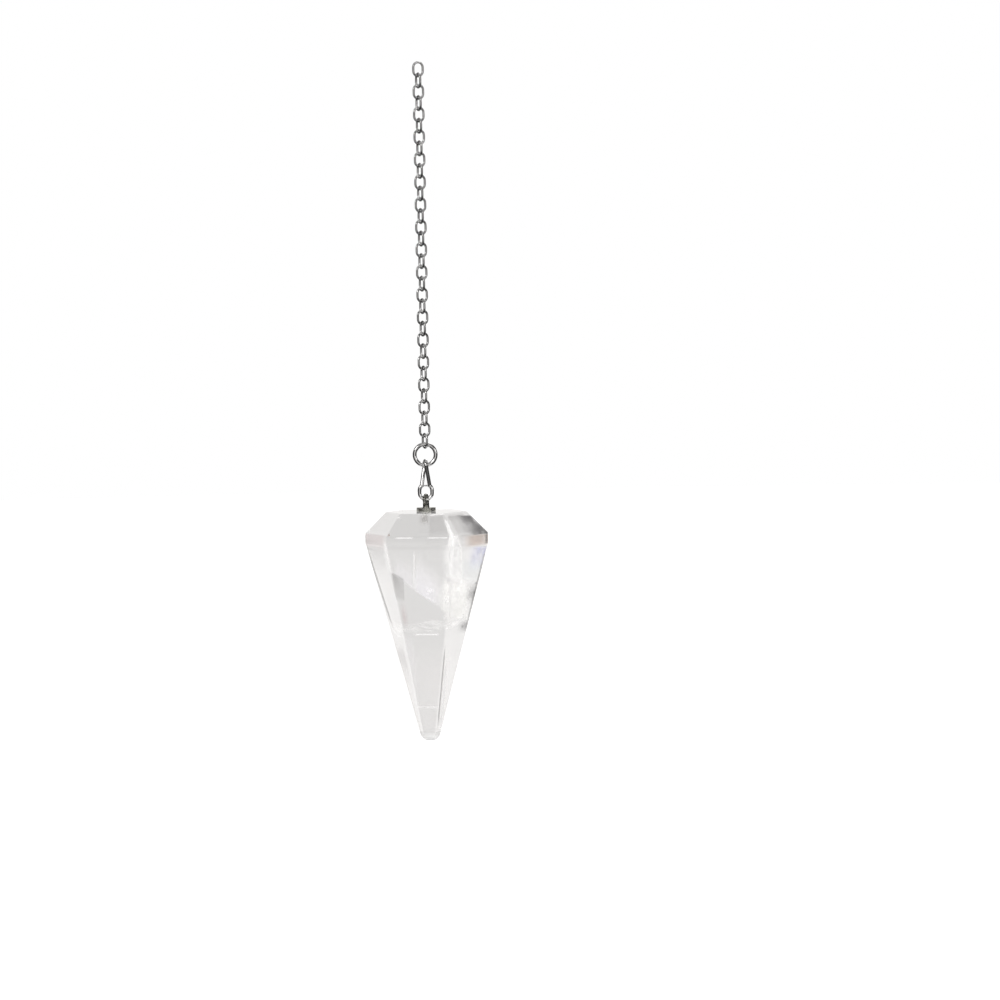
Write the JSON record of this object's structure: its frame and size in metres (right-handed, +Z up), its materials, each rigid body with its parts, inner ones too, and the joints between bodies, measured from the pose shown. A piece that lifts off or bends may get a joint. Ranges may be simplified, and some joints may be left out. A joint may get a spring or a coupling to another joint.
{
  "type": "pendulum pendant",
  "caption": "Hanging pendulum: a clear six-sided pointed crystal on a peg bail, pear link, jump ring and fine cable chain.",
  "frame": {"origin": "inside the upper bow of the top link, where a finger, hook or thread holds the chain", "axes": "+Z up along the hanging chain and stone, +X to the right as seen from the front, -Y towards the front"},
  "size_m": [0.0248, 0.0213, 0.1355],
  "materials": {
    "chain_steel": "polished fine wire",
    "bright_steel": "bright polish",
    "bail_metal": "dull grey plating",
    "crystal": "polished clear quartz with veils"
  },
  "bodies": {
    "suspension": {"link_01": "chain_steel", "link_02": "chain_steel", "link_03": "chain_steel", "link_04": "chain_steel", "link_05": "chain_steel", "link_06": "chain_steel", "link_07": "chain_steel", "link_08": "chain_steel", "link_09": "chain_steel", "link_10": "chain_steel", "link_11": "chain_steel", "link_12": "chain_steel", "link_13": "chain_steel", "link_14": "chain_steel", "link_15": "chain_steel", "link_16": "chain_steel", "link_17": "chain_steel", "link_18": "chain_steel", "link_19": "chain_steel", "link_20": "chain_steel", "link_21": "chain_steel", "link_22": "chain_steel", "link_23": "chain_steel", "link_24": "chain_steel", "link_25": "chain_steel", "link_26": "chain_steel", "link_27": "chain_steel", "link_28": "chain_steel", "link_29": "chain_steel", "link_30": "chain_steel", "link_31": "chain_steel", "link_32": "chain_steel", "link_33": "chain_steel", "link_34": "chain_steel", "jump_ring": "bright_steel", "pear_link": "bright_steel"},
    "drop": {"peg_bail": "bail_metal", "stone": "crystal"}
  },
  "joints": [
    {"name": "drop_swing", "type": "hinge", "parent": "suspension", "child": "drop", "pos_m": [0, 0, -0.08678], "axis": [1, 0, 0], "range_deg": [-80, 80]}
  ]
}
